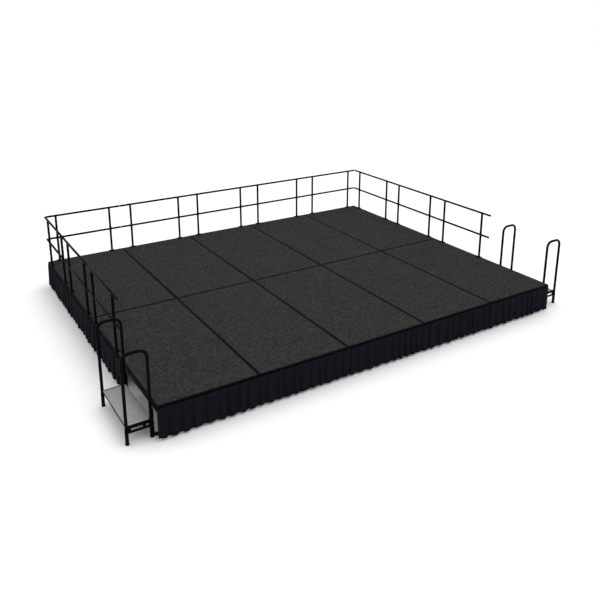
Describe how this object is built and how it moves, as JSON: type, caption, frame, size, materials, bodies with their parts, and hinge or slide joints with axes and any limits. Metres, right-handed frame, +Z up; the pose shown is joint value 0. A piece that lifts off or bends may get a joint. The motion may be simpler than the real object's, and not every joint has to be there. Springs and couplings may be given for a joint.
{
  "type": "stage riser platform",
  "caption": "Portable carpeted stage of folding-leg decks with guard rails, side steps with hoop handrails, and a pleated skirt.",
  "frame": {"origin": "on the floor, at the middle of the footprint, which runs from the front skirt to the rear rails' lips and from one step to the other", "axes": "+X along the stage's 20 ft front towards the right as seen from the audience, +Y from the front to the back rail, +Z up"},
  "size_m": [6.7286, 4.9128, 1.1729],
  "materials": {
    "charcoal_carpet": "short needle-punch carpet",
    "black_powder_coat": "satin powder coat on steel tube",
    "grey_tread": "fine non-slip texture",
    "dark_skirt_cloth": "matt polyester in box pleats",
    "black_edge_trim": "extruded T moulding",
    "black_rubber": "moulded feet and caps",
    "zinc_plated_steel": "zinc-plated screws"
  },
  "bodies": {
    "stage": {"deck_board_front_1": "charcoal_carpet", "deck_board_front_2": "charcoal_carpet", "deck_board_front_3": "charcoal_carpet", "deck_board_front_4": "charcoal_carpet", "deck_board_front_5": "charcoal_carpet", "deck_board_back_1": "charcoal_carpet", "deck_board_back_2": "charcoal_carpet", "deck_board_back_3": "charcoal_carpet", "deck_board_back_4": "charcoal_carpet", "deck_board_back_5": "charcoal_carpet", "deck_frame_front_1": "black_powder_coat", "deck_frame_front_2": "black_powder_coat", "deck_frame_front_3": "black_powder_coat", "deck_frame_front_4": "black_powder_coat", "deck_frame_front_5": "black_powder_coat", "deck_frame_back_1": "black_powder_coat", "deck_frame_back_2": "black_powder_coat", "deck_frame_back_3": "black_powder_coat", "deck_frame_back_4": "black_powder_coat", "deck_frame_back_5": "black_powder_coat", "skirt_front": "dark_skirt_cloth", "skirt_left": "dark_skirt_cloth", "skirt_right": "dark_skirt_cloth"},
    "leg_front_1_near": {"leg_frame_front_1_near": "black_powder_coat"},
    "leg_front_1_far": {"leg_frame_front_1_far": "black_powder_coat"},
    "leg_front_2_near": {"leg_frame_front_2_near": "black_powder_coat"},
    "leg_front_2_far": {"leg_frame_front_2_far": "black_powder_coat"},
    "leg_front_3_near": {"leg_frame_front_3_near": "black_powder_coat"},
    "leg_front_3_far": {"leg_frame_front_3_far": "black_powder_coat"},
    "leg_front_4_near": {"leg_frame_front_4_near": "black_powder_coat"},
    "leg_front_4_far": {"leg_frame_front_4_far": "black_powder_coat"},
    "leg_front_5_near": {"leg_frame_front_5_near": "black_powder_coat"},
    "leg_front_5_far": {"leg_frame_front_5_far": "black_powder_coat"},
    "leg_back_1_near": {"leg_frame_back_1_near": "black_powder_coat"},
    "leg_back_1_far": {"leg_frame_back_1_far": "black_powder_coat"},
    "leg_back_2_near": {"leg_frame_back_2_near": "black_powder_coat"},
    "leg_back_2_far": {"leg_frame_back_2_far": "black_powder_coat"},
    "leg_back_3_near": {"leg_frame_back_3_near": "black_powder_coat"},
    "leg_back_3_far": {"leg_frame_back_3_far": "black_powder_coat"},
    "leg_back_4_near": {"leg_frame_back_4_near": "black_powder_coat"},
    "leg_back_4_far": {"leg_frame_back_4_far": "black_powder_coat"},
    "leg_back_5_near": {"leg_frame_back_5_near": "black_powder_coat"},
    "leg_back_5_far": {"leg_frame_back_5_far": "black_powder_coat"},
    "rail_back_1": {"guard_rail_back_1": "black_powder_coat"},
    "rail_back_2": {"guard_rail_back_2": "black_powder_coat"},
    "rail_back_3": {"guard_rail_back_3": "black_powder_coat"},
    "rail_back_4": {"guard_rail_back_4": "black_powder_coat"},
    "rail_back_5": {"guard_rail_back_5": "black_powder_coat"},
    "rail_left_1": {"guard_rail_left_1": "black_powder_coat"},
    "rail_left_2": {"guard_rail_left_2": "black_powder_coat"},
    "rail_left_3": {"guard_rail_left_3": "black_powder_coat"},
    "rail_right_1": {"guard_rail_right_1": "black_powder_coat"},
    "rail_right_2": {"guard_rail_right_2": "black_powder_coat"},
    "rail_right_3": {"guard_rail_right_3": "black_powder_coat"},
    "left_step": {"left_step_tread": "grey_tread", "left_step_end_frame_near": "black_powder_coat", "left_step_end_frame_far": "black_powder_coat"},
    "right_step": {"right_step_tread": "grey_tread", "right_step_end_frame_near": "black_powder_coat", "right_step_end_frame_far": "black_powder_coat"}
  },
  "joints": [
    {"name": "fold_front_1_near", "type": "hinge", "parent": "stage", "child": "leg_front_1_near", "pos_m": [-2.4384, -2.3144, 0.3157], "axis": [1, 0, 0], "range_deg": [0, 90]},
    {"name": "fold_front_1_far", "type": "hinge", "parent": "stage", "child": "leg_front_1_far", "pos_m": [-2.4384, -0.098, 0.3157], "axis": [-1, 0, 0], "range_deg": [0, 90]},
    {"name": "fold_front_2_near", "type": "hinge", "parent": "stage", "child": "leg_front_2_near", "pos_m": [-1.2192, -2.3144, 0.3157], "axis": [1, 0, 0], "range_deg": [0, 90]},
    {"name": "fold_front_2_far", "type": "hinge", "parent": "stage", "child": "leg_front_2_far", "pos_m": [-1.2192, -0.098, 0.3157], "axis": [-1, 0, 0], "range_deg": [0, 90]},
    {"name": "fold_front_3_near", "type": "hinge", "parent": "stage", "child": "leg_front_3_near", "pos_m": [0, -2.3144, 0.3157], "axis": [1, 0, 0], "range_deg": [0, 90]},
    {"name": "fold_front_3_far", "type": "hinge", "parent": "stage", "child": "leg_front_3_far", "pos_m": [0, -0.098, 0.3157], "axis": [-1, 0, 0], "range_deg": [0, 90]},
    {"name": "fold_front_4_near", "type": "hinge", "parent": "stage", "child": "leg_front_4_near", "pos_m": [1.2192, -2.3144, 0.3157], "axis": [1, 0, 0], "range_deg": [0, 90]},
    {"name": "fold_front_4_far", "type": "hinge", "parent": "stage", "child": "leg_front_4_far", "pos_m": [1.2192, -0.098, 0.3157], "axis": [-1, 0, 0], "range_deg": [0, 90]},
    {"name": "fold_front_5_near", "type": "hinge", "parent": "stage", "child": "leg_front_5_near", "pos_m": [2.4384, -2.3144, 0.3157], "axis": [1, 0, 0], "range_deg": [0, 90]},
    {"name": "fold_front_5_far", "type": "hinge", "parent": "stage", "child": "leg_front_5_far", "pos_m": [2.4384, -0.098, 0.3157], "axis": [-1, 0, 0], "range_deg": [0, 90]},
    {"name": "fold_back_1_near", "type": "hinge", "parent": "stage", "child": "leg_back_1_near", "pos_m": [-2.4384, 0.124, 0.3157], "axis": [1, 0, 0], "range_deg": [0, 90]},
    {"name": "fold_back_1_far", "type": "hinge", "parent": "stage", "child": "leg_back_1_far", "pos_m": [-2.4384, 2.3404, 0.3157], "axis": [-1, 0, 0], "range_deg": [0, 90]},
    {"name": "fold_back_2_near", "type": "hinge", "parent": "stage", "child": "leg_back_2_near", "pos_m": [-1.2192, 0.124, 0.3157], "axis": [1, 0, 0], "range_deg": [0, 90]},
    {"name": "fold_back_2_far", "type": "hinge", "parent": "stage", "child": "leg_back_2_far", "pos_m": [-1.2192, 2.3404, 0.3157], "axis": [-1, 0, 0], "range_deg": [0, 90]},
    {"name": "fold_back_3_near", "type": "hinge", "parent": "stage", "child": "leg_back_3_near", "pos_m": [0, 0.124, 0.3157], "axis": [1, 0, 0], "range_deg": [0, 90]},
    {"name": "fold_back_3_far", "type": "hinge", "parent": "stage", "child": "leg_back_3_far", "pos_m": [0, 2.3404, 0.3157], "axis": [-1, 0, 0], "range_deg": [0, 90]},
    {"name": "fold_back_4_near", "type": "hinge", "parent": "stage", "child": "leg_back_4_near", "pos_m": [1.2192, 0.124, 0.3157], "axis": [1, 0, 0], "range_deg": [0, 90]},
    {"name": "fold_back_4_far", "type": "hinge", "parent": "stage", "child": "leg_back_4_far", "pos_m": [1.2192, 2.3404, 0.3157], "axis": [-1, 0, 0], "range_deg": [0, 90]},
    {"name": "fold_back_5_near", "type": "hinge", "parent": "stage", "child": "leg_back_5_near", "pos_m": [2.4384, 0.124, 0.3157], "axis": [1, 0, 0], "range_deg": [0, 90]},
    {"name": "fold_back_5_far", "type": "hinge", "parent": "stage", "child": "leg_back_5_far", "pos_m": [2.4384, 2.3404, 0.3157], "axis": [-1, 0, 0], "range_deg": [0, 90]},
    {"name": "lift_rail_back_1", "type": "slide", "parent": "stage", "child": "rail_back_1", "axis": [0, 0, 1], "range_m": [0, 0.3]},
    {"name": "lift_rail_back_2", "type": "slide", "parent": "stage", "child": "rail_back_2", "axis": [0, 0, 1], "range_m": [0, 0.3]},
    {"name": "lift_rail_back_3", "type": "slide", "parent": "stage", "child": "rail_back_3", "axis": [0, 0, 1], "range_m": [0, 0.3]},
    {"name": "lift_rail_back_4", "type": "slide", "parent": "stage", "child": "rail_back_4", "axis": [0, 0, 1], "range_m": [0, 0.3]},
    {"name": "lift_rail_back_5", "type": "slide", "parent": "stage", "child": "rail_back_5", "axis": [0, 0, 1], "range_m": [0, 0.3]},
    {"name": "lift_rail_left_1", "type": "slide", "parent": "stage", "child": "rail_left_1", "axis": [0, 0, 1], "range_m": [0, 0.3]},
    {"name": "lift_rail_left_2", "type": "slide", "parent": "stage", "child": "rail_left_2", "axis": [0, 0, 1], "range_m": [0, 0.3]},
    {"name": "lift_rail_left_3", "type": "slide", "parent": "stage", "child": "rail_left_3", "axis": [0, 0, 1], "range_m": [0, 0.3]},
    {"name": "lift_rail_right_1", "type": "slide", "parent": "stage", "child": "rail_right_1", "axis": [0, 0, 1], "range_m": [0, 0.3]},
    {"name": "lift_rail_right_2", "type": "slide", "parent": "stage", "child": "rail_right_2", "axis": [0, 0, 1], "range_m": [0, 0.3]},
    {"name": "lift_rail_right_3", "type": "slide", "parent": "stage", "child": "rail_right_3", "axis": [0, 0, 1], "range_m": [0, 0.3]},
    {"name": "pull_left_step", "type": "slide", "parent": "stage", "child": "left_step", "axis": [-1, 0, 0], "range_m": [0, 0.6]},
    {"name": "pull_right_step", "type": "slide", "parent": "stage", "child": "right_step", "axis": [1, 0, 0], "range_m": [0, 0.6]}
  ]
}
